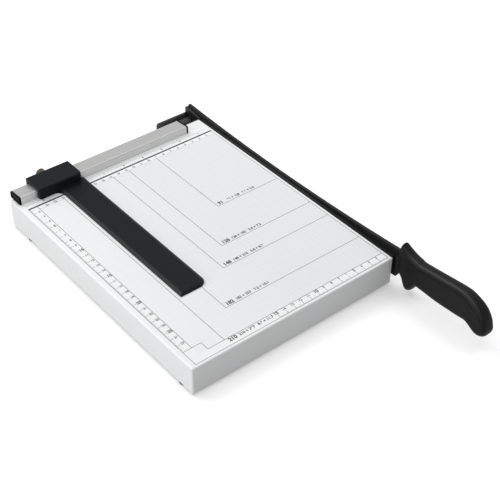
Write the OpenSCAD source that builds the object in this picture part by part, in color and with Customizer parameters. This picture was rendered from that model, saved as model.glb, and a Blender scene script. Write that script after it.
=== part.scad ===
// Desk paper cutter: a pressed steel board with a fence rail, a sliding paper stop and a swinging knife.
// Lengths are in millimetres. In the modules x = 0, y = 0 is the middle of the board and z = 0 its top.
// The front, with the handle, is towards -y, and the knife is on the right, towards +x.

/* [Board] */
// Width of the board
base_w = 250; // [236:1:290]
// Length of the board, front to back
base_l = 320; // [300:1:360]
// Height of the pan from its lower edge to its top
base_h = 32.5; // [31:0.5:40]
// Thickness of the pan's sheet
sheet_t = 1.2; // [1:0.1:1.5]
// Outside radius of the pan's bends
bend_r = 1.6; // [1.6:0.1:4]
// Width of the flange turned in under the walls
flange_w = 16; // [15:0.5:24]

/* [Feet] */
// Diameter of a rubber foot
foot_d = 12; // [9:0.5:12.5]
// Height of a foot below the pan
foot_h = 2; // [1.5:0.1:5]
// Centre of the front feet, back from the front wall
foot_front = 20; // [15:1:60]
// Centre of the back feet, forward from the back wall
foot_back = 33; // [15:1:60]

/* [Fence rail] */
// Depth of the rail, front to back
rail_d = 19; // [18:0.5:24]
// Height of the rail's front face
rail_h = 9; // [8:0.5:12]
// Fall of the rail's top towards the back
rail_fall = 1.7; // [0.5:0.1:2.5]
// Wall thickness of the hollow rail
rail_wall = 1.6; // [1.2:0.1:2]
// Rail's front face, forward from the board's back edge
rail_setback = 15.5; // [14:0.5:18]
// Gap between the board's left edge and the rail
rail_left_gap = 3.5; // [2:0.5:10]
// Gap between the board's right edge and the rail
rail_right_gap = 27; // [20:1:40]

/* [Paper stop] */
// Left side of the stop's head, from the board's left edge
stop_from_left = 25.5; // [14:0.5:60]
// Width of the head
stop_w = 51.5; // [46:0.5:60]
// Height of the head above the board
stop_h = 13; // [12.5:0.5:18]
// Width of the arm
stop_arm_w = 32.6; // [28:0.1:36]
// Reach of the arm past the head's right side
stop_arm_out = 5.4; // [3:0.1:6]
// Length of the arm from the head's front face
stop_arm_l = 215.5; // [120:0.5:230]
// Height of the arm's top above the board
stop_arm_t = 2.8; // [2.4:0.1:5]
// Diameter of the thumb screw's knob
knob_d = 11; // [9:0.5:13]

/* [Blades] */
// Thickness of the fixed lower blade
fixed_t = 4.2; // [3.5:0.1:6]
// Height of the fixed lower blade
fixed_h = 18; // [14:1:22]
// Thickness of the knife
knife_t = 3.5; // [3:0.1:5]
// Lowest point of the knife's hollow top edge above the board
knife_top = 1; // [0:0.1:3]
// Radius of the hollow top edge
top_r = 2550; // [2300:10:4000]
// Lowest point of the cutting edge below the board
belly_drop = 31; // [29:0.5:31]
// Radius of the bellied cutting edge
belly_r = 3780; // [3000:10:5000]

/* [Pivot] */
// Pivot axis behind the board's back edge
pivot_back = 17.5; // [16.5:0.5:22]
// Pivot axis below the board's top
pivot_drop = 11.5; // [11:0.5:14]
// Diameter of the pivot bolt
shaft_d = 7; // [6:0.1:8]
// Diameter of the bracket's bearing boss
boss_d = 11; // [10.5:0.5:12]
// Reach of the knife's square end behind the pivot axis
arm_tail = 8.5; // [8:0.1:12]
// Length of the bracket along the board's back, with its cheek
bracket_w = 46; // [46:1:60]
// Thickness of the bracket's plates
plate_t = 2.5; // [2:0.1:4]

/* [Handle] */
// Length of the handle
handle_l = 119; // [110:0.5:140]
// Height of the grip
handle_h = 36; // [34:0.5:42]
// Thickness of the grip
handle_t = 15; // [14:0.5:20]

/* [Fasteners] */
// Diameter of the small screws
screw_d = 4; // [3.5:0.1:4.5]

/* [Hidden] */
$fn = 64;
// Radial clearance of a shaft or screw in its hole
fit = 0.05;
// Gap round a sliding piece
play = 0.3;
// Overlap of cutting tools past the faces they cut
over = 1;

// Edges of the board
board_right = base_w / 2;
board_left = -base_w / 2;
board_back = base_l / 2;
board_front = -base_l / 2;

// Feet: centre line from the side walls and the push-in stem
foot_edge_gap = 0.5;
foot_inset = foot_d / 2 + foot_edge_gap;
foot_stem_d = 5;
foot_head_d = 7.5;
foot_head_h = 2.4;

// Screws, heads and nuts, in proportion to the thread
head_share = 1.8;
head_h_share = 0.65;
nut_share = 2;
nut_h_share = 0.8;
hole_d = screw_d + 2 * fit;
head_d = head_share * screw_d;
head_h = head_h_share * screw_d;
nut_d = nut_share * screw_d;
nut_h = nut_h_share * screw_d;
nut_sides = 6;
screw_end = 1;

// Cross recess of a screw head, in proportion to the head
cross_l_share = 0.6;
cross_w_share = 0.16;
cross_depth = 1.2;

// Fence rail
rail_y0 = board_back - rail_setback;
rail_y1 = rail_y0 + rail_d;
rail_x0 = board_left + rail_left_gap;
rail_x1 = board_right - rail_right_gap;
rail_edge_r = 1.5;
rail_inner_r = 0.2;
rail_arc_step = 15;
cap_t = 2.2;
cap_rim = 1.8;
cap_recess = 0.8;
cap_plug = 7;
rail_screw_share = 0.4;
rail_screw_spread = rail_screw_share * (rail_x1 - rail_x0);
rail_screw_y = (rail_y0 + rail_y1) / 2;

// Paper stop
stop_x0 = board_left + stop_from_left;
stop_x1 = stop_x0 + stop_w;
stop_front_wall = 5;
stop_back_wall = 4;
stop_y0 = rail_y0 - play - stop_front_wall;
stop_y1 = rail_y1 + play + stop_back_wall;
stop_edge_r = 2;
stop_head_r = 2;
stop_corner_r = 10;
stop_lift = 0.2;
stop_lip = 3;
stop_end_y = stop_y0 - stop_arm_l;
stop_arm_x1 = stop_x1 + stop_arm_out;
stop_arm_x0 = stop_arm_x1 - stop_arm_w;
stop_web_r = 9;
stop_web_bite = 0.3;
stop_bevel_w = 3.2;
stop_bevel_h = 1.8;
stop_bevel_z = stop_arm_t - stop_bevel_h;
thumb_share = 0.43;
thumb_z_share = 0.62;
thumb_x = stop_x0 + thumb_share * stop_w;
thumb_z = thumb_z_share * (rail_h - rail_fall);
thumb_d = 5;
thumb_gap = 0.1;
knob_gap = 1.2;
knob_l = 7.5;
knob_flutes = 24;
flute_d = 0.9;
insert_d = 8;

// Blades: the cut plane is the fixed blade's outer face
cut_gap = 0.05;
knife_x0 = board_right + fixed_t + cut_gap;
knife_x1 = knife_x0 + knife_t;
knife_mid_x = (knife_x0 + knife_x1) / 2;
knife_low_share = 0.13;
knife_low_y = knife_low_share * base_l;
edge_t = 0.8;
edge_bevel_h = 7;
blade_screws = 5;
blade_screw_z = -fixed_h / 2;
blade_end_gap = 1.5;
countersink_d = 2 * screw_d;
countersink_h = (countersink_d - screw_d) / 2;
tip_back = 4;
tip_cut_reach = 7.5;
tip_y = board_front + tip_back;
tip_cut_y = board_front - tip_cut_reach;
tip_cut_z = -17;
arc_fn = 720;

// Pivot bolt and what sits on it
bore_d = shaft_d + 2 * fit;
washer_t = 1.5;
washer_rim = 4.5;
washer_d = shaft_d + 2 * washer_rim;
spring_washer_rim = 0.6;
spring_washer_d = boss_d + 2 * spring_washer_rim;
bolt_head_d = head_share * shaft_d;
bolt_head_h = 5;

// Pivot bracket, whose cheek carries on the line of the fixed blade
pivot_y = board_back + pivot_back;
arm_back = pivot_y + arm_tail;
bracket_raise = 4;
bracket_y1 = pivot_y + max(spring_washer_d, bolt_head_d) / 2 + play + plate_t;
bracket_x1 = board_right + fixed_t;
bracket_x0 = bracket_x1 - bracket_w;
bracket_low = -base_h + bracket_raise;
front_leg_top = -1.5;
back_leg_top = -3.5;
back_leg_r = 3;
cheek_top = 3.3;
boss_l = 21;
bracket_screw_drop = 2;
bracket_screw_edge = 7.5;
bracket_screw_z = (bracket_low + front_leg_top) / 2 - bracket_screw_drop;
bracket_screw_x = bracket_x0 + bracket_screw_edge;
bracket_screw_step = (board_right - bracket_x0 - 2 * bracket_screw_edge) / 2;

// Spring and nut, from the boss inwards
spring_len = 14;
boss_x0 = bracket_x1 - boss_l;
spring_x1 = boss_x0 - washer_t;
spring_x0 = spring_x1 - spring_len;
pivot_nut_h = 6.5;
nut_x0 = spring_x0 - washer_t - pivot_nut_h;

// Spring wound round the bolt
wire_d = 1.6;
spring_turns = 5;
spring_rings = 8;
wire_sides = 6;
spring_seat = 0.2;
spring_r = shaft_d / 2 + 2 * play + wire_d / 2;
spring_start = spring_x0 + spring_seat + wire_d / 2;
spring_pitch = (spring_len - 2 * spring_seat - wire_d) / spring_turns;

// Handle, from the guard to the nose: place, top, underside and half thickness of its sections,
// as shares of its length, height and half thickness
handle_gap = 4.5;
handle_y0 = board_front - handle_gap;
handle_shares = [
    [0, 0.333, -0.25, 0.4],
    [0.012, 0.434, -0.364, 0.5],
    [0.032, 0.594, -0.491, 0.62],
    [0.072, 0.531, -0.61, 0.78],
    [0.117, 0.454, -0.843, 0.92],
    [0.163, 0.404, -0.801, 0.96],
    [0.219, 0.369, -0.545, 0.96],
    [0.265, 0.35, -0.507, 0.96],
    [0.464, 0.418, -0.529, 0.96],
    [0.694, 0.494, -0.48, 1],
    [0.794, 0.453, -0.45, 1.06],
    [0.898, 0.3, -0.619, 1.08],
    [0.96, 0.071, -0.592, 1.07],
    [0.986, -0.141, -0.523, 1],
    [0.996, -0.27, -0.468, 0.84],
    [1, -0.33, -0.38, 0.55]
];
handle_widest = max([for (row = handle_shares) row[3]]);
row_steps = 4;
handle_edge_r = 7;
edge_limit = 0.98;
corner_steps = 6;
tang_top = 5;
tang_low = -13;
tang_l = 70;
tang_gap = 0.1;
handle_screw_at = [28, 56];
handle_screw_z = -4;
handle_screw_d = 4;
handle_screw_head_d = 8;
handle_screw_head_h = 2.6;
handle_screw_reach = 5;

// Box round the whole cutter, whose middle is the frame's origin in x and y
left_x = board_left;
right_x = max(knife_x1 + washer_t + bolt_head_h, knife_mid_x + handle_widest * handle_t / 2);
front_y = handle_y0 - handle_l;
back_y = max(bracket_y1, arm_back);

// Moves a piece from the board's own origin to the shared frame
module place() {
    translate([-(left_x + right_x) / 2, -(front_y + back_y) / 2, base_h + foot_h]) children();
}

// A flat shape drawn in y and z, drawn out along x
module along_x(x, len) {
    translate([x, 0, 0]) rotate([90, 0, 90]) linear_extrude(len) children();
}

// A flat shape drawn in x and z, drawn out along y
module along_y(y, len) {
    translate([0, y + len, 0]) rotate([90, 0, 0]) linear_extrude(len) children();
}

module rod_x(x, len, d) {
    translate([x, 0, 0]) rotate([0, 90, 0]) cylinder(h = len, d = d);
}

module rod_y(y, len, d) {
    translate([0, y, 0]) rotate([-90, 0, 0]) cylinder(h = len, d = d);
}

// Cross recess cut downwards into a screw head of diameter d whose face is at z = 0
module cross_cut(d) {
    l = cross_l_share * d;
    w = cross_w_share * d;
    translate([-l / 2, -w / 2, -cross_depth]) cube([l, w, cross_depth + over]);
    translate([-w / 2, -l / 2, -cross_depth]) cube([w, l, cross_depth + over]);
}

// Rectangle with four round corners, about the origin
module rounded_rect(w, l, r) {
    square([w - 2 * r, l], center = true);
    square([w, l - 2 * r], center = true);
    for (x = [-1, 1], y = [-1, 1]) translate([x * (w / 2 - r), y * (l / 2 - r)]) circle(r);
}

// Rectangle from corner to corner with its two upper corners round
module soft_bar(x0, x1, y0, y1, r) {
    translate([x0 + r, y0]) square([x1 - x0 - 2 * r, y1 - y0]);
    translate([x0, y0]) square([x1 - x0, y1 - y0 - r]);
    for (x = [x0 + r, x1 - r]) translate([x, y1 - r]) circle(r);
}

// Block with every edge round, its top face at z = 0
module rounded_block(w, l, h, r) {
    intersection() {
        translate([0, 0, -h]) linear_extrude(h) rounded_rect(w, l, r);
        along_x(-w / 2, w) translate([0, -h / 2]) rounded_rect(l, h, r);
        along_y(-l / 2, l) translate([0, -h / 2]) rounded_rect(w, h, r);
    }
}

// Places of the repeated pieces
module at_feet() {
    for (side = [-1, 1], y = [board_front + foot_front, board_back - foot_back])
        translate([side * (board_right - foot_inset), y, -base_h]) children();
}

module at_rail_screws() {
    rail_mid = (rail_x0 + rail_x1) / 2;
    for (i = [-1:1]) translate([rail_mid + i * rail_screw_spread, rail_screw_y, 0]) children();
}

module at_blade_screws() {
    step = (base_l - 2 * blade_end_gap) / blade_screws;
    for (i = [0:blade_screws - 1])
        translate([board_right, board_front + blade_end_gap + (i + 0.5) * step, blade_screw_z]) children();
}

module at_bracket_screws() {
    for (i = [0:2])
        translate([bracket_screw_x + i * bracket_screw_step, board_back, bracket_screw_z]) children();
}

module at_pivot() {
    translate([0, pivot_y, -pivot_drop]) children();
}

module at_handle_screws() {
    for (s = handle_screw_at) translate([0, handle_y0 - s, handle_screw_z]) children();
}

// Board
module base_pan() {
    color("white") difference() {
        rounded_block(base_w, base_l, base_h, bend_r);
        translate([0, 0, -sheet_t])
            rounded_block(base_w - 2 * sheet_t, base_l - 2 * sheet_t, base_h - 2 * sheet_t,
                bend_r - sheet_t);
        translate([0, 0, -base_h - over]) linear_extrude(sheet_t + 2 * over)
            square([base_w - 2 * flange_w, base_l - 2 * flange_w], center = true);
        at_feet() translate([0, 0, -over]) cylinder(h = sheet_t + 2 * over, d = foot_stem_d + 2 * fit);
        at_rail_screws() translate([0, 0, -sheet_t - over]) cylinder(h = sheet_t + 2 * over, d = hole_d);
        at_blade_screws() rod_x(-sheet_t - over, sheet_t + 2 * over, hole_d);
        at_bracket_screws() rod_y(-sheet_t - over, sheet_t + 2 * over, hole_d);
    }
}

module feet() {
    color("black") at_feet() {
        translate([0, 0, -foot_h]) cylinder(h = foot_h, d = foot_d);
        cylinder(h = sheet_t, d = foot_stem_d);
        translate([0, 0, sheet_t]) cylinder(h = foot_head_h, d1 = foot_head_d, d2 = foot_stem_d);
    }
}

// Fence rail
module rail_outline(inset) {
    y0 = rail_y0 + inset;
    y1 = rail_y1 - inset;
    r = max(rail_edge_r - inset, rail_inner_r);
    front_top = rail_h - inset;
    polygon(concat(
        [[y0, inset], [y1, inset], [y1, front_top - rail_fall]],
        [for (a = [90:-rail_arc_step:0]) [y0 + r - r * sin(90 - a), front_top - r + r * sin(a)]]
    ));
}

module fence_rail() {
    metal_x0 = rail_x0 + cap_t;
    metal_l = rail_x1 - rail_x0 - 2 * cap_t;
    color("silver") difference() {
        along_x(metal_x0, metal_l) rail_outline(0);
        along_x(metal_x0 - over, metal_l + 2 * over) rail_outline(rail_wall);
        at_rail_screws() translate([0, 0, -over]) cylinder(h = rail_wall + 2 * over, d = hole_d);
    }
}

// Cap for an end of the rail: a flange with a sunk panel in its outer face at x = 0, and a plug
module rail_cap() {
    difference() {
        along_x(0, cap_t) rail_outline(0);
        along_x(-over, over + cap_recess) rail_outline(cap_rim);
    }
    along_x(cap_t, cap_plug) rail_outline(rail_wall + 2 * fit);
}

module rail_cap_left() {
    color("black") translate([rail_x0, 0, 0]) rail_cap();
}

module rail_cap_right() {
    color("black") translate([rail_x1, 0, 0]) mirror([1, 0, 0]) rail_cap();
}

module rail_screws() {
    color("gray") at_rail_screws() translate([0, 0, -sheet_t]) {
        cylinder(h = sheet_t + rail_wall + screw_end, d = screw_d);
        rotate([180, 0, 0]) difference() {
            cylinder(h = head_h, d = head_d);
            translate([0, 0, head_h]) cross_cut(head_d);
        }
    }
}

// Lower blade
module fixed_blade() {
    color("dimgray") difference() {
        translate([board_right, board_front + blade_end_gap, -fixed_h])
            cube([fixed_t, base_l - 2 * blade_end_gap, fixed_h]);
        at_blade_screws() {
            rod_x(-over, fixed_t + 2 * over, hole_d);
            translate([fixed_t - countersink_h, 0, 0]) rotate([0, 90, 0])
                cylinder(h = countersink_h, d1 = hole_d, d2 = countersink_d + 2 * fit);
        }
    }
}

module fixed_blade_screws() {
    color("gray") at_blade_screws() {
        rod_x(-sheet_t - nut_h - screw_end, sheet_t + nut_h + screw_end + fixed_t - countersink_h, screw_d);
        translate([fixed_t - countersink_h, 0, 0]) rotate([0, 90, 0]) difference() {
            cylinder(h = countersink_h - fit, d1 = screw_d, d2 = countersink_d - 2 * fit);
            translate([0, 0, countersink_h - fit]) cross_cut(head_d);
        }
    }
}

module fixed_blade_nuts() {
    color("gray") at_blade_screws() difference() {
        translate([-sheet_t - nut_h, 0, 0]) rotate([0, 90, 0])
            cylinder(h = nut_h, d = nut_d, $fn = nut_sides);
        rod_x(-sheet_t - nut_h - over, nut_h + 2 * over, hole_d);
    }
}

// Pivot bracket
module back_leg_outline() {
    translate([bracket_x0 + back_leg_r, bracket_low])
        square([bracket_w - back_leg_r, back_leg_top - bracket_low]);
    translate([bracket_x0, bracket_low])
        square([bracket_w, back_leg_top - bracket_low - back_leg_r]);
    translate([bracket_x0 + back_leg_r, back_leg_top - back_leg_r]) circle(back_leg_r);
}

module cheek_outline() {
    polygon([[board_back, bracket_low], [bracket_y1, bracket_low], [bracket_y1, cheek_top], [board_back, 0]]);
}

module pivot_bracket() {
    depth = bracket_y1 - board_back;
    color("black") difference() {
        union() {
            translate([bracket_x0, board_back, bracket_low])
                cube([bracket_w, plate_t, front_leg_top - bracket_low]);
            translate([bracket_x0, board_back, bracket_low]) cube([bracket_w, depth, plate_t]);
            along_y(bracket_y1 - plate_t, plate_t) back_leg_outline();
            along_x(board_right, fixed_t) cheek_outline();
            at_pivot() rod_x(boss_x0, boss_l, boss_d);
        }
        at_pivot() rod_x(boss_x0 - over, boss_l + 2 * over, bore_d);
        at_bracket_screws() rod_y(-over, plate_t + 2 * over, hole_d);
    }
}

module bracket_screws() {
    color("gray") at_bracket_screws() {
        rod_y(-sheet_t - nut_h - screw_end, sheet_t + nut_h + screw_end + plate_t, screw_d);
        translate([0, plate_t, 0]) rotate([-90, 0, 0]) difference() {
            cylinder(h = head_h, d = head_d);
            translate([0, 0, head_h]) cross_cut(head_d);
        }
    }
}

module bracket_nuts() {
    color("gray") at_bracket_screws() difference() {
        translate([0, -sheet_t - nut_h, 0]) rotate([-90, 0, 0])
            cylinder(h = nut_h, d = nut_d, $fn = nut_sides);
        rod_y(-sheet_t - nut_h - over, nut_h + 2 * over, hole_d);
    }
}

// Washer on the pivot bolt
module washer(x, t, d) {
    at_pivot() difference() {
        rod_x(x, t, d);
        rod_x(x - over, t + 2 * over, bore_d);
    }
}

module head_washer() {
    color("gray") washer(knife_x1, washer_t, washer_d);
}

module spring_washers() {
    color("gray") for (x = [spring_x1, spring_x0 - washer_t]) washer(x, washer_t, spring_washer_d);
}

module pivot_bolt() {
    tail_x = nut_x0 - screw_end;
    color("gray") at_pivot() {
        rod_x(tail_x, knife_x1 + washer_t - tail_x, shaft_d);
        translate([knife_x1 + washer_t, 0, 0]) rotate([0, 90, 0])
            cylinder(h = bolt_head_h, d = bolt_head_d, $fn = nut_sides);
    }
}

module pivot_nut() {
    color("gray") at_pivot() difference() {
        translate([nut_x0, 0, 0]) rotate([0, 90, 0])
            cylinder(h = pivot_nut_h, d = bolt_head_d, $fn = nut_sides);
        rod_x(nut_x0 - over, pivot_nut_h + 2 * over, bore_d);
    }
}

// Spring: middle of the wire after a turn of a degrees
function coil_point(a) =
    [spring_start + spring_pitch * a / 360, spring_r * cos(a), spring_r * sin(a)];

// One ring of the wire's skin, square to the wire
function coil_ring(a, mid) =
    let (lean = atan2(spring_pitch, 2 * PI * spring_r))
    let (outward = [0, cos(a), sin(a)])
    let (across = [cos(lean), sin(lean) * sin(a), -sin(lean) * cos(a)])
    [for (k = [0:wire_sides - 1])
        mid + wire_d / 2 * (cos(360 * k / wire_sides) * outward + sin(360 * k / wire_sides) * across)];

// Direction of the wire, for its straight ends
function coil_way(a) =
    let (lean = atan2(spring_pitch, 2 * PI * spring_r))
    [sin(lean), -cos(lean) * sin(a), cos(lean) * cos(a)];

module pivot_spring() {
    last = 360 * spring_turns;
    rings = concat(
        [coil_ring(0, coil_point(0) - wire_d * coil_way(0))],
        [for (i = [0:spring_turns * spring_rings])
            let (a = i * 360 / spring_rings)
            coil_ring(a, coil_point(a))],
        [coil_ring(last, coil_point(last) + wire_d * coil_way(last))]
    );
    color("silver") at_pivot() skin(rings);
}

// Closed skin over a row of rings with the same number of points
module skin(rings) {
    n = len(rings[0]);
    m = len(rings);
    points = [for (ring = rings) for (p = ring) p];
    sides = [for (i = [0:m - 2], k = [0:n - 1])
        let (a = i * n + k, b = i * n + (k + 1) % n)
        each [[a, b, b + n], [a, b + n, a + n]]];
    first = [for (k = [1:n - 2]) [0, k + 1, k]];
    end = (m - 1) * n;
    final = [for (k = [1:n - 2]) [end, end + k, end + k + 1]];
    polyhedron(points, concat(sides, first, final));
}

// Least gap between neighbouring turns, measured on the wire's middle points
spring_gap = min([for (i = [0:spring_rings]) for (j = [-1:1])
    norm(coil_point(360 + (i + j) * 360 / spring_rings) - coil_point(i * 360 / spring_rings)) - wire_d]);
echo(spring_gap = spring_gap);

// Knife
module knife_outline() {
    difference() {
        union() {
            intersection() {
                difference() {
                    translate([tip_cut_y, -base_h - over]) square([arm_back - tip_cut_y, 2 * base_h]);
                    translate([knife_low_y, knife_top + top_r]) circle(top_r, $fn = arc_fn);
                }
                translate([knife_low_y, belly_r - belly_drop]) circle(belly_r, $fn = arc_fn);
            }
            translate([handle_y0 - tang_l, tang_low]) square([tang_l, tang_top - tang_low]);
        }
        polygon([[tip_y, -base_h - over], [tip_cut_y, tip_cut_z], [tip_cut_y - over, tip_cut_z],
            [tip_cut_y - over, -base_h - over]]);
        translate([pivot_y, -pivot_drop]) circle(d = bore_d);
        for (s = handle_screw_at)
            translate([handle_y0 - s, handle_screw_z]) circle(d = handle_screw_d + 2 * fit);
    }
}

// Large disc whose rim is the cutting edge, ground on the outer side
module ground_disc() {
    translate([knife_x0, knife_low_y, belly_r - belly_drop]) rotate([0, 90, 0]) {
        cylinder(h = edge_t, r = belly_r, $fn = arc_fn);
        translate([0, 0, edge_t])
            cylinder(h = knife_t - edge_t, r1 = belly_r, r2 = belly_r - edge_bevel_h, $fn = arc_fn);
    }
}

module knife_arm() {
    color("dimgray") intersection() {
        along_x(knife_x0, knife_t) knife_outline();
        ground_disc();
    }
}

// Handle: smooth curve through the rows, from the first at t = 0 to the last
function through_rows(t) =
    let (last = len(handle_shares) - 1)
    let (i = min(floor(t), last - 1))
    let (f = t - i)
    let (a = handle_shares[max(i - 1, 0)], b = handle_shares[i])
    let (c = handle_shares[i + 1], d = handle_shares[min(i + 2, last)])
    b + f * (c - a + f * (2 * a - 5 * b + 4 * c - d + f * (3 * (b - c) + d - a))) / 2;

// One section of the handle in x and z: a rectangle with round corners
function handle_ring(row) =
    let (half = row[3] * handle_t / 2)
    let (middle = handle_h * (row[1] + row[2]) / 2)
    let (rise = handle_h * (row[1] - row[2]) / 2)
    let (r = min(handle_edge_r, edge_limit * half, edge_limit * rise))
    [for (corner = [0:3], k = [0:corner_steps])
        let (a = 90 * (corner + k / corner_steps))
        let (side = corner == 0 || corner == 3 ? 1 : -1)
        let (upper = corner < 2 ? 1 : -1)
        [knife_mid_x + side * (half - r) + r * cos(a),
            handle_y0 - row[0] * handle_l,
            middle + upper * (rise - r) + r * sin(a)]];

module handle_body() {
    skin([for (i = [0:row_steps * (len(handle_shares) - 1)]) handle_ring(through_rows(i / row_steps))]);
}

module handle() {
    slot_t = knife_t + 2 * tang_gap;
    head_x = knife_mid_x + handle_t / 2 - handle_screw_head_h - play;
    color("black") difference() {
        handle_body();
        translate([knife_x0 - tang_gap, handle_y0 - tang_l - tang_gap, tang_low - tang_gap])
            cube([slot_t, tang_l + 2 * base_h, tang_top - tang_low + 2 * tang_gap]);
        translate([knife_x0 - tang_gap, tip_cut_y - tang_gap, -2 * base_h])
            cube([slot_t, base_h, 4 * base_h]);
        at_handle_screws() {
            rod_x(knife_x0 - handle_screw_reach, handle_t, handle_screw_d + 2 * fit);
            rod_x(head_x, handle_t, handle_screw_head_d + 2 * fit);
        }
    }
}

module handle_screws() {
    head_x = knife_mid_x + handle_t / 2 - handle_screw_head_h - play;
    start_x = knife_x0 - handle_screw_reach + play;
    color("gray") at_handle_screws() {
        rod_x(start_x, head_x - start_x, handle_screw_d);
        translate([head_x, 0, 0]) rotate([0, 90, 0]) difference() {
            cylinder(h = handle_screw_head_h, d = handle_screw_head_d);
            translate([0, 0, handle_screw_head_h]) cross_cut(handle_screw_head_d);
        }
    }
}

// Paper stop: its head, with round corners at the front
module stop_head() {
    intersection() {
        along_x(stop_x0, stop_w) soft_bar(stop_y0, stop_y1, -stop_lip, stop_h, stop_edge_r);
        translate([0, 0, -stop_lip]) linear_extrude(stop_h + stop_lip)
            mirror([0, 1]) soft_bar(stop_x0, stop_x1, -stop_y1, -stop_y0, stop_head_r);
    }
}

// Prism that takes the bevel off an edge lying along y, with the edge at x = 0
module bevel_cut(len) {
    slope = stop_bevel_h / stop_bevel_w;
    top = stop_arm_t + over;
    along_y(0, len)
        polygon([[-over, stop_bevel_z - over * slope], [-over, top], [stop_bevel_w + over / slope, top]]);
}

// The arm seen from above, with its round corner
module stop_arm_plan() {
    length = stop_arm_l + stop_front_wall;
    r = stop_corner_r;
    translate([stop_arm_x0, stop_end_y]) square([stop_arm_w - r, length]);
    translate([stop_arm_x0, stop_end_y + r]) square([stop_arm_w, length - r]);
    translate([stop_arm_x1 - r, stop_end_y + r]) circle(r);
}

// Flat arm with bevels on its left, right and front edges
module stop_arm() {
    cut_l = stop_arm_l + stop_front_wall + 2 * over;
    difference() {
        translate([0, 0, stop_lift]) linear_extrude(stop_arm_t - stop_lift) stop_arm_plan();
        translate([stop_arm_x0, stop_end_y - over, 0]) bevel_cut(cut_l);
        translate([stop_arm_x1, stop_end_y - over, 0]) mirror([1, 0, 0]) bevel_cut(cut_l);
        translate([stop_arm_x1 + over, stop_end_y, 0]) rotate([0, 0, 90]) bevel_cut(stop_arm_w + 2 * over);
    }
}

// Thin web with a hollow edge, in the corner between the head and the arm's left side
module stop_web() {
    r = stop_web_r;
    translate([stop_arm_x0 + stop_web_bite - r, stop_y0 + stop_web_bite - r, stop_lift])
        linear_extrude(stop_bevel_z - stop_lift) difference() {
            square(r + over);
            circle(r);
        }
}

module paper_stop() {
    color("black") difference() {
        union() {
            stop_head();
            stop_arm();
            stop_web();
        }
        translate([stop_x0 - over, rail_y0 - play, -stop_lip - over])
            cube([stop_w + 2 * over, rail_d + 2 * play, rail_h + play + stop_lip + over]);
        translate([stop_x0 - over, stop_y0 - over, -stop_lip - over])
            cube([stop_w + 2 * over, rail_y0 - stop_y0 + over, stop_lip + over + stop_lift]);
        translate([thumb_x, stop_y1 - stop_back_wall, thumb_z])
            rod_y(-over, stop_back_wall + 2 * over, insert_d + 2 * fit);
    }
}

module stop_insert() {
    color("goldenrod") translate([thumb_x, stop_y1 - stop_back_wall, thumb_z]) difference() {
        rod_y(0, stop_back_wall, insert_d);
        rod_y(-over, stop_back_wall + 2 * over, thumb_d + 2 * fit);
    }
}

module thumb_screw() {
    knob_y = stop_y1 + knob_gap;
    color("goldenrod") translate([thumb_x, 0, thumb_z]) {
        rod_y(rail_y1 + thumb_gap, knob_y - rail_y1 - thumb_gap, thumb_d);
        difference() {
            rod_y(knob_y, knob_l, knob_d);
            for (i = [0:knob_flutes - 1]) rotate([0, i * 360 / knob_flutes, 0])
                translate([knob_d / 2, 0, 0]) rod_y(knob_y - over, knob_l + 2 * over, flute_d);
        }
    }
}

place() base_pan();
place() feet();
place() fence_rail();
place() rail_cap_left();
place() rail_cap_right();
place() rail_screws();
place() fixed_blade();
place() fixed_blade_screws();
place() fixed_blade_nuts();
place() pivot_bracket();
place() bracket_screws();
place() bracket_nuts();
place() knife_arm();
place() handle();
place() handle_screws();
place() pivot_bolt();
place() head_washer();
place() spring_washers();
place() pivot_spring();
place() pivot_nut();
place() paper_stop();
place() stop_insert();
place() thumb_screw();
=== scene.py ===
"""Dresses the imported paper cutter: materials for every node, print on the board, floor, light and camera."""

import math

import bmesh
import bpy
from mathutils import Matrix, Vector


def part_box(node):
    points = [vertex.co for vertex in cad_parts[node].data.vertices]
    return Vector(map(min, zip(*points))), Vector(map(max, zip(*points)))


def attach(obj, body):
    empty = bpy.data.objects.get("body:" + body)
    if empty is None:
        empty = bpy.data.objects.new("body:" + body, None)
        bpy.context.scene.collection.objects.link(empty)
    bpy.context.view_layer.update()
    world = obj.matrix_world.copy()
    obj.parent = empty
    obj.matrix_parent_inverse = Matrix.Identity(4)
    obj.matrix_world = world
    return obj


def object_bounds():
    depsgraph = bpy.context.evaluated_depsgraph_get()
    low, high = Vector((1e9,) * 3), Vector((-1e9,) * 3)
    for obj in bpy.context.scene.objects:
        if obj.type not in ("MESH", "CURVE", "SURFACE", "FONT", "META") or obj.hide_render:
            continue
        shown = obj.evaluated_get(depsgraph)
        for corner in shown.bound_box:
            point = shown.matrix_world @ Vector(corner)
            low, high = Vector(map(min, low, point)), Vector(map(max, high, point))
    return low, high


MM = 0.001
CM = 10 * MM
INCH = 25.4 * MM

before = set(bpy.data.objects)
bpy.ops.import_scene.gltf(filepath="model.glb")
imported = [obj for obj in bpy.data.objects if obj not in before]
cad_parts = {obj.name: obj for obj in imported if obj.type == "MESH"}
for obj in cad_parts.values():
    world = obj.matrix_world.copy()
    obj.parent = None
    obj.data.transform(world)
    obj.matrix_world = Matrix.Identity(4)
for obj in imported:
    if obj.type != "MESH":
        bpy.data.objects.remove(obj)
cad_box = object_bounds()

# Board, from the frame
board_low, board_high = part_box("base_pan")
board_top = Vector(((board_low.x + board_high.x) / 2, (board_low.y + board_high.y) / 2, board_high.z))

# Layout of the print, as distances from the board's edges
left_line = board_low.x + 6.6 * MM
ruler_line = left_line + 10 * MM
cut_line = board_high.x - 3.9 * MM
thick_line = board_high.y - 27.7 * MM
strip_line = thick_line - 6.3 * MM
inch_line = thick_line + 6.3 * MM
inch_line_end = board_high.x - 2 * MM
front_line = board_low.y + 3.1 * MM
front_inner = front_line + 9.1 * MM
corner_box_x = left_line + 20.7 * MM
corner_box_y = front_line + 19.5 * MM

# Corner from which the print measures a sheet: at the blades and at the fence
zero_x = board_high.x + 6.2 * MM
zero_y = board_high.y - 17.5 * MM

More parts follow.
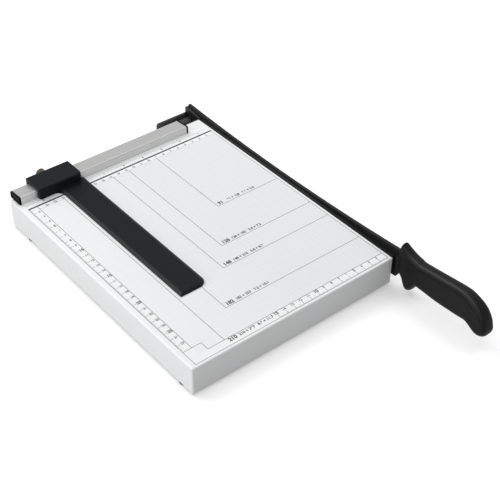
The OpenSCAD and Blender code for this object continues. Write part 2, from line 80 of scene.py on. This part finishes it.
# Widths and lengths of the printed sheets in millimetres, the last reaching the front ruler
SHEETS = [(91, 128), (128, 182), (148, 210), (182, 257), (210, 297)]

# First and last figures of the rulers, and the first tick of the quarter inches
FIRST_CM = 2
LAST_SIDE_CM = 27
LAST_FRONT_CM = 15
LAST_STRIP_CM = 23
LAST_INCH = 9
FIRST_QUARTER = 2

# Ink: lift off the board, line widths, and the font's size for figures of height 1
INK_LIFT = 0.04 * MM
ink_z = board_top.z + INK_LIFT
THICK_W = 2.2 * MM
LINE_W = 0.45 * MM
FINE_W = 0.36 * MM
HAIR_W = 0.18 * MM
FONT_SHARE = 1.4

# Ticks of the rulers, at each centimetre, half and millimetre
TICK_CM = 4.6 * MM
TICK_HALF = 2.6 * MM
TICK_MM = 1.4 * MM
STRIP_TICK_SHARE = 0.55
TICK_INCH = 2.4 * MM
TICK_QUARTER = 1.3 * MM

# Heights of the figures and how far each stroke is thickened
FIVES = {"size": 3.6 * MM, "bold": 0.2 * MM}
UNITS = {"size": 2.8 * MM, "bold": 0.13 * MM}
SMALL = {"size": 2.4 * MM, "bold": 0.1 * MM}
SHEET_MAIN = {"size": 4.4 * MM, "bold": 0.26 * MM}
SHEET_MORE = {"size": 3.2 * MM, "bold": 0.16 * MM}

# Places of the figures beside their lines
SIDE_FIGURE = 2.7 * MM
FRONT_FIGURE = 2.3 * MM
STRIP_FIGURE = 1.6 * MM
INCH_FIGURE = 4.2 * MM
SHEET_INDENT = 3 * MM
SHEET_RISE = 3.6 * MM
SHEET_GAP = 12 * MM

# Tint of the printed area: its strength at the left ruler and in full, where it is full, and its grid's ink.
# Its growth from the left ruler to the right is painted shade.
TINT_LEFT = 0.05
TINT_FULL = 0.2
tint_end = board_top.x + 20 * MM
GRID_INK = 0.08

# Sine from which a face counts as facing a way, and those between which the ground bevel faces down
FACING = 0.5
GROUND_LOW = -0.6
GROUND_HIGH = -0.15

# Painted shade on the rail's top: the sine from which a face counts in full, and how strongly it is shaded
RAIL_TOP = 0.6
RAIL_TOP_SHADE = 0.75

# Ends of the stop's arm and of the grip, and the lengths over which their polish fades
stop_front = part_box("paper_stop")[0].y
rail_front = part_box("fence_rail")[0].y
grip_low, grip_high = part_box("handle")
STOP_FADE = 18 * MM
GRIP_FADE_SHARE = 0.2

# Sine from which a face counts in full as an upper one
RIDGE_UP = 0.4

# Bands of painted highlight on the ridges: how far their faces lean left and spread, as sines, and where they
# end and fade
STOP_HIGHLIGHT_BAND = {
    "lean": 0.5,
    "spread": 0.25,
    "start": stop_front - STOP_FADE,
    "end": rail_front,
    "fade": STOP_FADE,
}
GRIP_HIGHLIGHT_BAND = {
    "lean": 0.6,
    "spread": 0.3,
    "start": grip_low.y,
    "end": grip_high.y,
    "fade": GRIP_FADE_SHARE * (grip_high.y - grip_low.y),
}

# Length of the knife's inner face that rubs on the bracket
PIVOT_RUB = 40 * MM

# Width of the bracket's part beside the knife that is painted darker as shade
SHADE_BY_KNIFE = 6 * MM

# Light: an even sky, a soft lamp above the right, one above the back and a low one at the left
SKY = 0.55
KEY = {"towards": Vector((0.5, 0.25, 1.0)), "strength": 0.78, "angle": math.radians(50)}
BACK = {"towards": Vector((-0.25, 0.6, 0.76)), "strength": 0.85, "angle": math.radians(34)}
FILL = {"towards": Vector((-1.0, 0.0, 0.12)), "strength": 1.18, "angle": math.radians(25)}

# Floor: its size, what the camera sees of it as colour and as glow, and what it throws back
FLOOR_SIZE = 12.0
FLOOR_SHOWN = 0.92
FLOOR_GLOW = 0.245
FLOOR_BOUNCE = 0.32

# Where the photograph was taken from: angles, distance and the point in its middle
CAMERA_AZIMUTH = math.radians(-39.51)
CAMERA_ELEVATION = math.radians(39.55)
CAMERA_ROLL = math.radians(0.66)
CAMERA_DISTANCE = 1.1583
CAMERA_LENS = 83.27
CAMERA_SENSOR = 36.0
CAMERA_AIM = board_top + Vector((21.0, -62.1, 0)) * MM


# Node trees
def feed(tree, node, inputs):
    """Links or sets a node's inputs by name or number."""
    for key, value in inputs.items():
        if isinstance(value, bpy.types.NodeSocket):
            tree.links.new(value, node.inputs[key])
        else:
            node.inputs[key].default_value = value


def add(tree, kind, inputs=None, **settings):
    """A new shader node with its settings and inputs."""
    made = tree.nodes.new(kind)
    for key, value in settings.items():
        setattr(made, key, value)
    feed(tree, made, inputs or {})
    return made


def start_material(name):
    """An empty node material: the material, its tree and its shader."""
    material = bpy.data.materials.new(name)
    material.use_nodes = True
    tree = material.node_tree
    return material, tree, tree.nodes["Principled BSDF"]


def place(tree):
    """Position on the object in the shared frame, in metres."""
    return add(tree, "ShaderNodeTexCoord").outputs["Object"]


def parts_of(tree, vector):
    """The x, y and z of a vector."""
    return add(tree, "ShaderNodeSeparateXYZ", {0: vector}).outputs


def facing(tree):
    """Direction that the surface faces, which turns with the piece."""
    return add(tree, "ShaderNodeTexCoord").outputs["Normal"]


def alike(tree, first, second):
    """1 where two directions agree, 0 where they stand square to each other."""
    pair = {0: first, 1: second}
    return add(tree, "ShaderNodeVectorMath", pair, operation="DOT_PRODUCT").outputs["Value"]


def noise(tree, size, detail=2.0, stretch=(1, 1, 1)):
    """Soft random pattern whose spots are about size metres wide, drawn out by stretch."""
    scale = [1 / s for s in stretch]
    scaled = add(tree, "ShaderNodeMapping", {"Vector": place(tree), "Scale": scale}).outputs[0]
    made = add(tree, "ShaderNodeTexNoise", {"Vector": scaled, "Scale": 1 / size, "Detail": detail})
    return made.outputs["Fac"]


def grown(tree, value, start, end, low, high):
    """Goes from low to high while a value goes from start to end."""
    limits = {"Value": value, "From Min": start, "From Max": end, "To Min": low, "To Max": high}
    return add(tree, "ShaderNodeMapRange", limits).outputs["Result"]


def vary(tree, pattern, low, high):
    """Pattern from 0 to 1 spread between two values."""
    return grown(tree, pattern, 0.0, 1.0, low, high)


def math_of(tree, operation, first, second=0.0):
    """One operation on a value or socket, or on two."""
    return add(tree, "ShaderNodeMath", {0: first, 1: second}, operation=operation).outputs[0]


def product(tree, *factors):
    """All the factors multiplied."""
    result = factors[0]
    for factor in factors[1:]:
        result = math_of(tree, "MULTIPLY", result, factor)
    return result


def mix(tree, factor, first, second):
    """Two colours mixed by a factor."""
    made = add(tree, "ShaderNodeMix", {0: factor, 6: first, 7: second}, data_type="RGBA")
    return made.outputs[2]


def grey(value, warm=0.0):
    """A grey colour, a little warmer or cooler."""
    return (value * (1 + warm), value, value * (1 - warm), 1.0)


def soft_edges(tree, radius):
    """Normal that rounds the sharp edges by a radius."""
    return add(tree, "ShaderNodeBevel", {"Radius": radius}, samples=6).outputs[0]


def edge_mask(tree, rounded, gain):
    """1 along the edges, where the rounded normal leaves the face's own."""
    flat = add(tree, "ShaderNodeNewGeometry").outputs["Normal"]
    turned = math_of(tree, "SUBTRACT", 1.0, alike(tree, rounded, flat))
    return add(tree, "ShaderNodeClamp", {"Value": product(tree, turned, gain)}).outputs[0]


def bump(tree, height, depth, normal):
    """Surface relief of a depth in metres on top of a normal."""
    made = add(tree, "ShaderNodeBump", {"Height": height, "Distance": depth, "Normal": normal})
    return made.outputs[0]


def above(tree, value, limit):
    """1 where a value is over a limit."""
    return math_of(tree, "GREATER_THAN", value, limit)


def below(tree, value, limit):
    """1 where a value is under a limit."""
    return math_of(tree, "LESS_THAN", value, limit)


def between(tree, value, low, high):
    """1 where a value lies between two limits."""
    return product(tree, above(tree, value, low), below(tree, value, high))


def rubbed_ridge(tree, lean, spread, start, end, fade):
    """1 on upper faces that lean to the left by a sine, where a highlight is painted, fading at a spread from
    it and at both ends.
    """
    face = parts_of(tree, facing(tree))
    aside = math_of(tree, "ABSOLUTE", math_of(tree, "ADD", face["X"], lean))
    near = grown(tree, aside, 0.0, spread, 1.0, 0.0)
    upper = grown(tree, face["Z"], 0.0, RIDGE_UP, 0.0, 1.0)
    y = parts_of(tree, place(tree))["Y"]
    begun = grown(tree, y, start, start + fade, 0.0, 1.0)
    unfinished = grown(tree, y, end - fade, end, 1.0, 0.0)
    return product(tree, near, upper, begun, unfinished)


def ruled(tree, value, start, step, width):
    """1 on the lines of a ruling with that step, counted from start."""
    turns = math_of(tree, "DIVIDE", math_of(tree, "SUBTRACT", value, start - step / 2), step)
    aside = math_of(tree, "SUBTRACT", math_of(tree, "FRACT", turns), 0.5)
    return below(tree, math_of(tree, "ABSOLUTE", aside), width / step / 2)


# Materials
def on_top(tree):
    """1 on the board's top."""
    return above(tree, parts_of(tree, place(tree))["Z"], board_top.z - INK_LIFT)


def printed_grid(tree):
    """Tinted area, darker to the right as painted shade, with a faint square grid on the board's top inside
    the rulers, from 0 to 1.
    """
    spot = parts_of(tree, place(tree))
    x = spot["X"]
    y = spot["Y"]
    # Painted shade: the tint grows from the left ruler to the right.
    tint_and_painted_shade = grown(tree, x, ruler_line, tint_end, TINT_LEFT, TINT_FULL)
    fine_x = ruled(tree, x, zero_x, CM / 2, HAIR_W)
    fine_y = ruled(tree, y, zero_y, CM / 2, HAIR_W)
    coarse_x = ruled(tree, x, zero_x, CM, FINE_W)
    coarse_y = ruled(tree, y, zero_y, CM, FINE_W)
    fine = math_of(tree, "MAXIMUM", fine_x, fine_y)
    coarse = math_of(tree, "MAXIMUM", coarse_x, coarse_y)
    lines = product(tree, math_of(tree, "ADD", fine, coarse), GRID_INK)
    inside_x = between(tree, x, ruler_line, cut_line)
    inside_y = between(tree, y, front_inner, strip_line)
    return product(tree, inside_x, inside_y, on_top(tree), math_of(tree, "ADD", lines, tint_and_painted_shade))


def white_paint():
    """Powder coat on the pan, with painted shade on top that darkens it towards the front, and the printed
    grid.
    """
    material, tree, shader = start_material("white_paint")
    paint = mix(tree, noise(tree, 60 * MM, detail=3.0), grey(0.89, warm=-0.006), grey(0.92, warm=-0.01))
    # Painted shade: the top darkens from the back edge to the front.
    painted_shade = grown(tree, parts_of(tree, place(tree))["Y"], board_high.y, board_low.y, 0.0, 1.0)
    paint = mix(tree, product(tree, painted_shade, on_top(tree)), paint, grey(0.825, warm=-0.008))
    grid = printed_grid(tree)
    orange_peel = bump(tree, noise(tree, 1.1 * MM), 0.012 * MM, soft_edges(tree, 0.4 * MM))
    feed(tree, shader, {
        "Base Color": mix(tree, grid, paint, grey(0.42, warm=-0.02)),
        "Roughness": vary(tree, noise(tree, 9 * MM), 0.36, 0.5),
        "Normal": orange_peel,
        "Specular IOR Level": 0.35,
    })
    return material


def rail_metal():
    """Satin grey rail, brushed along its length, with painted shade on top."""
    material, tree, shader = start_material("rail_metal")
    brushed = noise(tree, 0.25 * MM, detail=4.0, stretch=(160, 1, 1))
    streaks = mix(tree, brushed, grey(0.6, warm=0.004), grey(0.68, warm=0.004))
    clouds = vary(tree, noise(tree, 45 * MM), 0.0, 0.35)
    bright = mix(tree, clouds, streaks, grey(0.74, warm=0.01))
    # Painted shade: faces turned up are darker.
    painted_shade = grown(tree, parts_of(tree, facing(tree))["Z"], 0.0, RAIL_TOP, 0.0, RAIL_TOP_SHADE)
    feed(tree, shader, {
        "Base Color": mix(tree, painted_shade, bright, grey(0.306, warm=0.004)),
        "Roughness": vary(tree, brushed, 0.36, 0.5),
        "Normal": bump(tree, brushed, 0.006 * MM, soft_edges(tree, 0.3 * MM)),
        "Metallic": 0.9,
    })
    return material


def black_moulding(name, dark, worn, rough, grain, highlight_band, warm=0.0):
    """Moulded black plastic: a fine grain, cloudy gloss, edges polished by handling, and a painted highlight
    along the ridges on one side.
    """
    material, tree, shader = start_material(name)
    rounded = soft_edges(tree, 0.6 * MM)
    cloudy = noise(tree, 25 * MM, detail=3.0)
    body = mix(tree, cloudy, grey(dark, warm), grey(dark * 1.3, warm))
    # Painted highlight along the ridge, in the colour of the worn edges.
    body = mix(tree, rubbed_ridge(tree, **highlight_band), body, grey(worn))
    feed(tree, shader, {
        "Base Color": mix(tree, edge_mask(tree, rounded, 1.6), body, grey(worn)),
        "Roughness": vary(tree, cloudy, rough, rough + 0.1),
        "Normal": bump(tree, noise(tree, grain, detail=1.0), 0.02 * MM, rounded),
        "Specular IOR Level": 0.06,
    })
    return material


def cap_plastic(node):
    """Black cap whose sunk panel is a grey with dust."""
    material, tree, shader = start_material(node + "_plastic")
    low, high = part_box(node)
    spot = parts_of(tree, place(tree))
    rim = 1.8 * MM
    sunk_y = between(tree, spot["Y"], low.y + rim, high.y - rim)
    sunk_z = between(tree, spot["Z"], low.z + rim, high.z - rim)
    dust = noise(tree, 2 * MM, detail=3.0)
    body = mix(tree, dust, grey(0.003), grey(0.006))
    panel = mix(tree, dust, grey(0.008), grey(0.04))
    feed(tree, shader, {
        "Base Color": mix(tree, product(tree, sunk_y, sunk_z), body, panel),
        "Roughness": vary(tree, dust, 0.5, 0.65),
        "Normal": bump(tree, noise(tree, 0.5 * MM), 0.02 * MM, soft_edges(tree, 0.4 * MM)),
        "Specular IOR Level": 0.03,
    })
    return material


def enamel(tree, dark, light, worn):
    """Black enamel, cloudy, and worn thin along the edges; with its rounded normal."""
    rounded = soft_edges(tree, 0.3 * MM)
    body = mix(tree, noise(tree, 30 * MM, detail=3.0), grey(dark, warm=-0.02), grey(light, warm=-0.01))
    colour = mix(tree, edge_mask(tree, rounded, 1.2), body, grey(worn))
    return colour, bump(tree, noise(tree, 0.9 * MM), 0.015 * MM, rounded)


def blade_steel():
    """Black enamel on the blades, worn where it rubs, painted lighter on faces turned up and towards the
    front, and bright on the ground bevel.
    """
    material, tree, shader = start_material("blade_steel")
    colour, normal = enamel(tree, dark=0.007, light=0.011, worn=0.045)
    face = parts_of(tree, facing(tree))
    spot = parts_of(tree, place(tree))
    # Painted light: faces turned up are lighter.
    colour = mix(tree, above(tree, face["Z"], FACING), colour, grey(0.019, warm=-0.01))
    before_board = product(tree, below(tree, spot["Y"], board_low.y), below(tree, spot["Z"], board_top.z))
    by_pivot = above(tree, spot["Y"], board_high.y - PIVOT_RUB)
    worn = math_of(tree, "MAXIMUM", before_board, by_pivot)
    worn = product(tree, worn, below(tree, face["X"], -FACING))
    # Painted light: faces towards the front take the worn colour too.
    worn = math_of(tree, "MAXIMUM", worn, below(tree, face["Y"], -FACING))
    colour = mix(tree, worn, colour, grey(0.03))
    downward = between(tree, face["Z"], GROUND_LOW, GROUND_HIGH)
    ground = product(tree, above(tree, face["X"], FACING), downward)
    grinding = noise(tree, 0.2 * MM, detail=3.0, stretch=(1, 1, 40))
    steel = mix(tree, grinding, grey(0.42), grey(0.58))
    feed(tree, shader, {
        "Base Color": mix(tree, ground, colour, steel),
        "Metallic": product(tree, ground, 0.9),
        "Roughness": vary(tree, noise(tree, 6 * MM), 0.38, 0.55),
        "Normal": normal,
        "Specular IOR Level": 0.08,
    })
    return material


def bracket_enamel():
    """Black enamel on the pivot's bracket, painted lighter than the blades' enamel and lighter still on faces
    towards the front, and painted dark as shade beside the knife.
    """
    material, tree, shader = start_material("bracket_enamel")
    # Painted light: this black is lighter than the blades' to lift the shade the bracket stands in.
    colour, normal = enamel(tree, dark=0.03, light=0.045, worn=0.07)
    by_knife = above(tree, parts_of(tree, place(tree))["X"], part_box("pivot_bracket")[1].x - SHADE_BY_KNIFE)
    # Painted light: faces towards the front are lighter.
    painted_front_light = below(tree, parts_of(tree, facing(tree))["Y"], -FACING)
    colour = mix(tree, painted_front_light, colour, grey(0.08))
    # Painted shade: the part beside the knife is darker.
    colour = mix(tree, by_knife, colour, grey(0.012))
    feed(tree, shader, {
        "Base Color": colour,
        "Roughness": vary(tree, noise(tree, 5 * MM), 0.32, 0.46),
        "Normal": normal,
        "Specular IOR Level": 0.22,
    })
    return material


def plain_metal(name, colour, shade, rough):
    """Plated or bare metal with spots of tarnish and a fine grain."""
    material, tree, shader = start_material(name)
    spots = noise(tree, 4 * MM, detail=4.0)
    feed(tree, shader, {
        "Base Color": mix(tree, spots, colour, shade),
        "Roughness": vary(tree, spots, rough, rough + 0.18),
        "Normal": bump(tree, noise(tree, 0.5 * MM), 0.01 * MM, soft_edges(tree, 0.25 * MM)),
        "Metallic": 1.0,
    })
    return material


def foot_rubber():
    """Dull rubber with a dusty bloom."""
    material, tree, shader = start_material("foot_rubber")
    dust = noise(tree, 3 * MM, detail=4.0)
    feed(tree, shader, {
        "Base Color": mix(tree, dust, grey(0.014), grey(0.035, warm=0.03)),
        "Roughness": vary(tree, dust, 0.75, 0.95),
        "Normal": bump(tree, noise(tree, 0.6 * MM), 0.03 * MM, soft_edges(tree, 0.4 * MM)),
    })
    return material


def print_ink():
    """Screen-printed ink, a little thin in places."""
    material, tree, shader = start_material("print_ink")
    thin = noise(tree, 1.5 * MM, detail=3.0)
    feed(tree, shader, {
        "Base Color": mix(tree, thin, grey(0.02), grey(0.08)),
        "Roughness": vary(tree, thin, 0.45, 0.65),
    })
    return material


def dress(material, *names):
    """Gives a material to CAD nodes."""
    for name in names:
        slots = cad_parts[name].data.materials
        slots.clear()
        slots.append(material)


def dress_nodes():
    """A finished material for every node."""
    dress(white_paint(), "base_pan")
    dress(foot_rubber(), "feet")
    dress(rail_metal(), "fence_rail")
    for cap in ("rail_cap_left", "rail_cap_right"):
        dress(cap_plastic(cap), cap)
    stop_look = {"dark": 0.009, "worn": 0.035, "rough": 0.36, "grain": 0.5 * MM, "warm": -0.12}
    dress(black_moulding("stop_plastic", highlight_band=STOP_HIGHLIGHT_BAND, **stop_look), "paper_stop")
    grip_look = {"dark": 0.01, "worn": 0.048, "rough": 0.34, "grain": 0.7 * MM}
    dress(black_moulding("handle_plastic", highlight_band=GRIP_HIGHLIGHT_BAND, **grip_look), "handle")
    dress(blade_steel(), "knife_arm", "fixed_blade")
    dress(bracket_enamel(), "pivot_bracket")
    zinc = plain_metal("zinc_steel", grey(0.5), grey(0.62, warm=0.03), rough=0.3)
    dress(zinc, "rail_screws", "fixed_blade_screws", "fixed_blade_nuts", "bracket_screws", "bracket_nuts")
    dress(zinc, "handle_screws", "pivot_bolt", "head_washer", "spring_washers", "pivot_nut")
    dress(plain_metal("spring_steel", grey(0.4), grey(0.5), rough=0.28), "pivot_spring")
    brass = plain_metal("brass", (0.11, 0.104, 0.08, 1.0), (0.072, 0.07, 0.058, 1.0), rough=0.4)
    dress(brass, "stop_insert", "thumb_screw")


# Print on the board
def patch(shape, x0, y0, x1, y1):
    """A flat rectangle of ink."""
    corners = [(x0, y0, ink_z), (x1, y0, ink_z), (x1, y1, ink_z), (x0, y1, ink_z)]
    shape.faces.new([shape.verts.new(corner) for corner in corners])


def across(shape, x0, x1, y, width):
    """A line of ink from left to right."""
    patch(shape, x0, y - width / 2, x1, y + width / 2)


def along(shape, x, y0, y1, width):
    """A line of ink from front to back."""
    patch(shape, x - width / 2, y0, x + width / 2, y1)


def frame_lines(shape):
    """The borders of the rulers, the thick line at the fence and the line at the cut."""
    across(shape, left_line, cut_line + LINE_W, thick_line, THICK_W)
    along(shape, left_line, front_line, thick_line, LINE_W)
    along(shape, ruler_line, corner_box_y, thick_line, LINE_W)
    along(shape, cut_line, front_line, thick_line, LINE_W)
    across(shape, left_line, cut_line, front_line, LINE_W)
    across(shape, corner_box_x, cut_line, front_inner, LINE_W)
    across(shape, ruler_line, cut_line, strip_line, HAIR_W)
    across(shape, left_line, inch_line_end, inch_line, HAIR_W)
    across(shape, left_line, corner_box_x, corner_box_y, LINE_W)
    along(shape, corner_box_x, front_inner, corner_box_y, LINE_W)


def sheet_lines(shape):
    """The corners of the usual sheets, measured from the zero corner."""
    for width, length in SHEETS[:-1]:
        x = zero_x - width * MM
        y = zero_y - length * MM
        along(shape, x, y, strip_line, LINE_W)
        across(shape, x, cut_line, y, LINE_W)
    last_width = SHEETS[-1][0] * MM
    along(shape, zero_x - last_width, front_inner, strip_line, LINE_W)


def tick_length(step):
    """Length of the tick after so many millimetres."""
    if step % 10 == 0:
        return TICK_CM
    return TICK_HALF if step % 5 == 0 else TICK_MM


def tick_width(step):
    """Width of the tick after so many millimetres."""
    return FINE_W if step % 10 == 0 else HAIR_W


def ruler_ticks(shape):
    """Millimetre ticks of the three rulers and quarter inches above the thick line."""
    first = int((zero_x - cut_line) / MM) + 1
    side_first = int((zero_y - thick_line) / MM) + 2
    for step in range(side_first, int((zero_y - corner_box_y) / MM)):
        y = zero_y - step * MM
        across(shape, left_line, left_line + tick_length(step), y, tick_width(step))
    for step in range(first, LAST_FRONT_CM * 10 + 1):
        x = zero_x - step * MM
        along(shape, x, front_line, front_line + tick_length(step), tick_width(step))
    for step in range(first, int((zero_x - ruler_line) / MM)):
        x = zero_x - step * MM
        along(shape, x, thick_line - STRIP_TICK_SHARE * tick_length(step), thick_line, tick_width(step))
    for quarter in range(FIRST_QUARTER, int((zero_x - left_line) / INCH * 4)):
        x = zero_x - quarter * INCH / 4
        length = TICK_INCH if quarter % 4 == 0 else TICK_QUARTER
        along(shape, x, thick_line, thick_line + length, HAIR_W)


def number(shape, words, x, y, size, bold, start="CENTER"):
    """Adds figures to the print, size metres high, at a place on the board."""
    curve = bpy.data.curves.new("figures", "FONT")
    curve.body = words
    curve.size = size * FONT_SHARE
    curve.offset = bold
    curve.align_x = start
    curve.align_y = "CENTER"
    holder = bpy.data.objects.new("figures", curve)
    mesh = bpy.data.meshes.new_from_object(holder)
    mesh.transform(Matrix.Translation((x, y, ink_z)))
    shape.from_mesh(mesh)
    bpy.data.objects.remove(holder)
    bpy.data.meshes.remove(mesh)
    bpy.data.curves.remove(curve)


def ruler_numbers(shape):
    """Figures beside the ticks, larger at each five."""
    for cm in range(FIRST_CM, LAST_SIDE_CM + 1):
        style = FIVES if cm % 5 == 0 else UNITS
        number(shape, str(cm), ruler_line - SIDE_FIGURE, zero_y - cm * CM, **style)
    for cm in range(FIRST_CM, LAST_FRONT_CM + 1):
        style = FIVES if cm % 5 == 0 else UNITS
        number(shape, str(cm), zero_x - cm * CM, front_inner - FRONT_FIGURE, **style)
    for cm in range(FIRST_CM, LAST_STRIP_CM + 1):
        number(shape, str(cm), zero_x - cm * CM, strip_line + STRIP_FIGURE, **SMALL)
    for inch in range(1, LAST_INCH + 1):
        number(shape, str(inch), zero_x - inch * INCH, thick_line + INCH_FIGURE, **UNITS)


def sheet_numbers(shape):
    """Sizes of the sheets in their corners, in millimetres and then in inches."""
    for width, length in SHEETS:
        x = zero_x - width * MM + SHEET_INDENT
        y = max(zero_y - length * MM, front_line) + SHEET_RISE
        inches = f"{width * MM / INCH:.1f} × {length * MM / INCH:.1f}"
        number(shape, str(width), x, y, start="LEFT", **SHEET_MAIN)
        number(shape, f"{width} × {length}   {inches}", x + SHEET_GAP, y, start="LEFT", **SHEET_MORE)


def print_piece(name, fill):
    """A piece of the print that lies on the board, filled by the given functions."""
    shape = bmesh.new()
    for draw in fill:
        draw(shape)
    mesh = bpy.data.meshes.new(name)
    shape.to_mesh(mesh)
    shape.free()
    piece = bpy.data.objects.new(name, mesh)
    bpy.context.scene.collection.objects.link(piece)
    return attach(piece, "base")


def print_board():
    """All the print, in ink."""
    ink = print_ink()
    lines = print_piece("board_print_lines", [frame_lines, sheet_lines, ruler_ticks])
    numbers = print_piece("board_print_numbers", [ruler_numbers, sheet_numbers])
    for piece in (lines, numbers):
        piece.data.materials.append(ink)


# Floor, light and camera
def seen_mask(tree):
    """1 for rays from the camera and in mirrors and glass, 0 for light that spreads."""
    path = add(tree, "ShaderNodeLightPath").outputs
    either = math_of(tree, "MAXIMUM", path["Is Camera Ray"], path["Is Glossy Ray"])
    return math_of(tree, "MAXIMUM", either, path["Is Transmission Ray"])


def light_world():
    """Even sky light, white where it is seen."""
    world = bpy.data.worlds.new("studio")
    world.use_nodes = True
    tree = world.node_tree
    sky = tree.nodes["Background"]
    sky.inputs["Color"].default_value = grey(1.0)
    tree.links.new(vary(tree, seen_mask(tree), SKY, 1.0), sky.inputs["Strength"])
    bpy.context.scene.world = world


def hang_lamp(name, towards, strength, angle):
    """A large soft lamp, far away in a direction."""
    lamp = bpy.data.lights.new(name, "SUN")
    lamp.energy = strength
    lamp.angle = angle
    holder = bpy.data.objects.new(name, lamp)
    holder.rotation_mode = "QUATERNION"
    holder.rotation_quaternion = towards.to_track_quat("Z", "Y")
    bpy.context.scene.collection.objects.link(holder)


def floor_white():
    """Pale floor, white where it is seen in full light, with the shadows left on it."""
    material, tree, shader = start_material("floor")
    seen = seen_mask(tree)
    feed(tree, shader, {
        "Base Color": mix(tree, seen, grey(FLOOR_BOUNCE), grey(FLOOR_SHOWN)),
        "Roughness": 1.0,
        "Specular IOR Level": 0.0,
        "Emission Color": grey(1.0),
        "Emission Strength": product(tree, seen, FLOOR_GLOW),
    })
    return material


def lay_floor():
    """Plain floor under the feet."""
    shape = bmesh.new()
    bmesh.ops.create_grid(shape, x_segments=1, y_segments=1, size=FLOOR_SIZE / 2)
    mesh = bpy.data.meshes.new("floor")
    shape.to_mesh(mesh)
    shape.free()
    floor = bpy.data.objects.new("floor", mesh)
    floor.location.z = cad_box[0].z
    bpy.context.scene.collection.objects.link(floor)
    mesh.materials.append(floor_white())


def set_camera():
    """A camera at the photograph's place."""
    flat = math.cos(CAMERA_ELEVATION)
    back_x = math.sin(CAMERA_AZIMUTH) * flat
    back_y = -math.cos(CAMERA_AZIMUTH) * flat
    back = Vector((back_x, back_y, math.sin(CAMERA_ELEVATION)))
    right = Vector((math.cos(CAMERA_AZIMUTH), math.sin(CAMERA_AZIMUTH), 0))
    level = Matrix((right, back.cross(right), back)).transposed().to_4x4()
    camera = bpy.data.cameras.new("camera")
    camera.lens = CAMERA_LENS
    camera.sensor_width = CAMERA_SENSOR
    holder = bpy.data.objects.new("camera", camera)
    stand = Matrix.Translation(CAMERA_AIM + back * CAMERA_DISTANCE)
    holder.matrix_world = stand @ level @ Matrix.Rotation(CAMERA_ROLL, 4, "Z")
    bpy.context.scene.collection.objects.link(holder)
    bpy.context.scene.camera = holder


set_camera()
lay_floor()
light_world()
hang_lamp("key", **KEY)
hang_lamp("back", **BACK)
hang_lamp("fill", **FILL)
dress_nodes()
print_board()
bpy.context.scene.view_settings.view_transform = "Standard"
